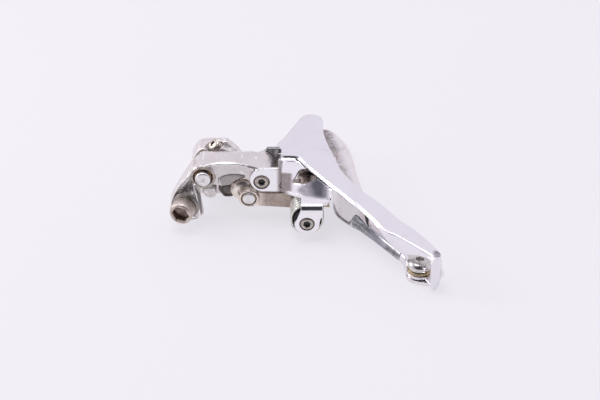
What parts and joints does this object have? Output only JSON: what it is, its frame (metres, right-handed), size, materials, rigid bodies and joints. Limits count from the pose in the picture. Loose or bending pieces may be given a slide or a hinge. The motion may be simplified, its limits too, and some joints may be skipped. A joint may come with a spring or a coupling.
{
  "type": "front derailleur",
  "caption": "Front derailleur for a brazed-on frame tab: a parallelogram of two links on a cast body swings a two-plate steel chain cage, with a cable clamp arm and limit screws.",
  "frame": {"origin": "middle of the footprint, on the surface that the part lies on with its inner side down", "axes": "+X runs down the bicycle, +Y forwards, +Z outwards, away from the frame"},
  "size_m": [0.0926, 0.1, 0.0233],
  "materials": {
    "silver_paint": "satin silver paint over cast aluminium, scuffed on the edges",
    "chromed_steel": "bright plated sheet steel with light stains",
    "worn_nickel": "worn plated steel, brownish",
    "grey_steel": "dull grey screw steel",
    "pin_steel": "bright turned steel",
    "spring_steel": "smooth drawn and stamped steel",
    "dark_insert": "matt dark grey plastic",
    "black_nylon": "matt black nylon",
    "bush_bronze": "oiled bearing bronze",
    "brown_washer": "brown stained plated washer"
  },
  "bodies": {
    "body": {"body_casting": "silver_paint", "stop_insert": "dark_insert", "outer_body_pin": "pin_steel", "inner_body_pin": "pin_steel", "frame_bolt": "grey_steel", "frame_washer": "spring_steel"},
    "outer_link": {"outer_link": "silver_paint", "outer_body_bush": "bush_bronze", "outer_cage_bush": "bush_bronze"},
    "cable_clamp": {"clamp_bolt": "grey_steel", "clamp_washer": "spring_steel"},
    "inner_link": {"inner_link": "worn_nickel", "inner_body_bush": "bush_bronze", "inner_cage_bush": "bush_bronze", "return_spring": "spring_steel", "spring_sleeve": "black_nylon"},
    "cage": {"cage_bracket": "chromed_steel", "cage_outer_plate": "chromed_steel", "cage_inner_plate": "chromed_steel", "front_rivet": "chromed_steel", "rear_rivet": "chromed_steel", "outer_cage_screw": "grey_steel", "inner_cage_screw": "grey_steel", "tail_screw": "grey_steel", "tail_washer": "brown_washer", "tail_lock_washer": "grey_steel"},
    "low_limit": {"low_limit_screw": "grey_steel"},
    "high_limit": {"high_limit_screw": "grey_steel"}
  },
  "joints": [
    {"name": "outer_link_swing", "type": "hinge", "parent": "body", "child": "outer_link", "pos_m": [-0.0347, 0.00355, 0.0176], "axis": [0, -1, 0], "range_deg": [0, 32], "stiffness_Nm_per_rad": 0.03, "springref_deg": -20.05},
    {"name": "inner_link_swing", "type": "hinge", "parent": "body", "child": "inner_link", "pos_m": [-0.01901, 0.00355, 0.0088], "axis": [0, -1, 0], "range_deg": [0, 32]},
    {"name": "cage_swing", "type": "hinge", "parent": "inner_link", "child": "cage", "pos_m": [0.00129, 0.00355, 0.0075], "axis": [0, -1, 0], "range_deg": [-32, 0]},
    {"name": "clamp_slide", "type": "slide", "parent": "outer_link", "child": "cable_clamp", "axis": [-0.26, -0.9656, 0], "range_m": [0, 0.003]},
    {"name": "low_limit_slide", "type": "slide", "parent": "body", "child": "low_limit", "axis": [-0.4993, -0.3994, 0.7689], "range_m": [-0.0005, 0.003]},
    {"name": "high_limit_slide", "type": "slide", "parent": "body", "child": "high_limit", "axis": [-1, 0, 0], "range_m": [-0.0005, 0.003]}
  ],
  "couplings": [
    {"joint": "inner_link_swing", "follows": "outer_link_swing", "ratio": 1},
    {"joint": "cage_swing", "follows": "outer_link_swing", "ratio": -1}
  ]
}
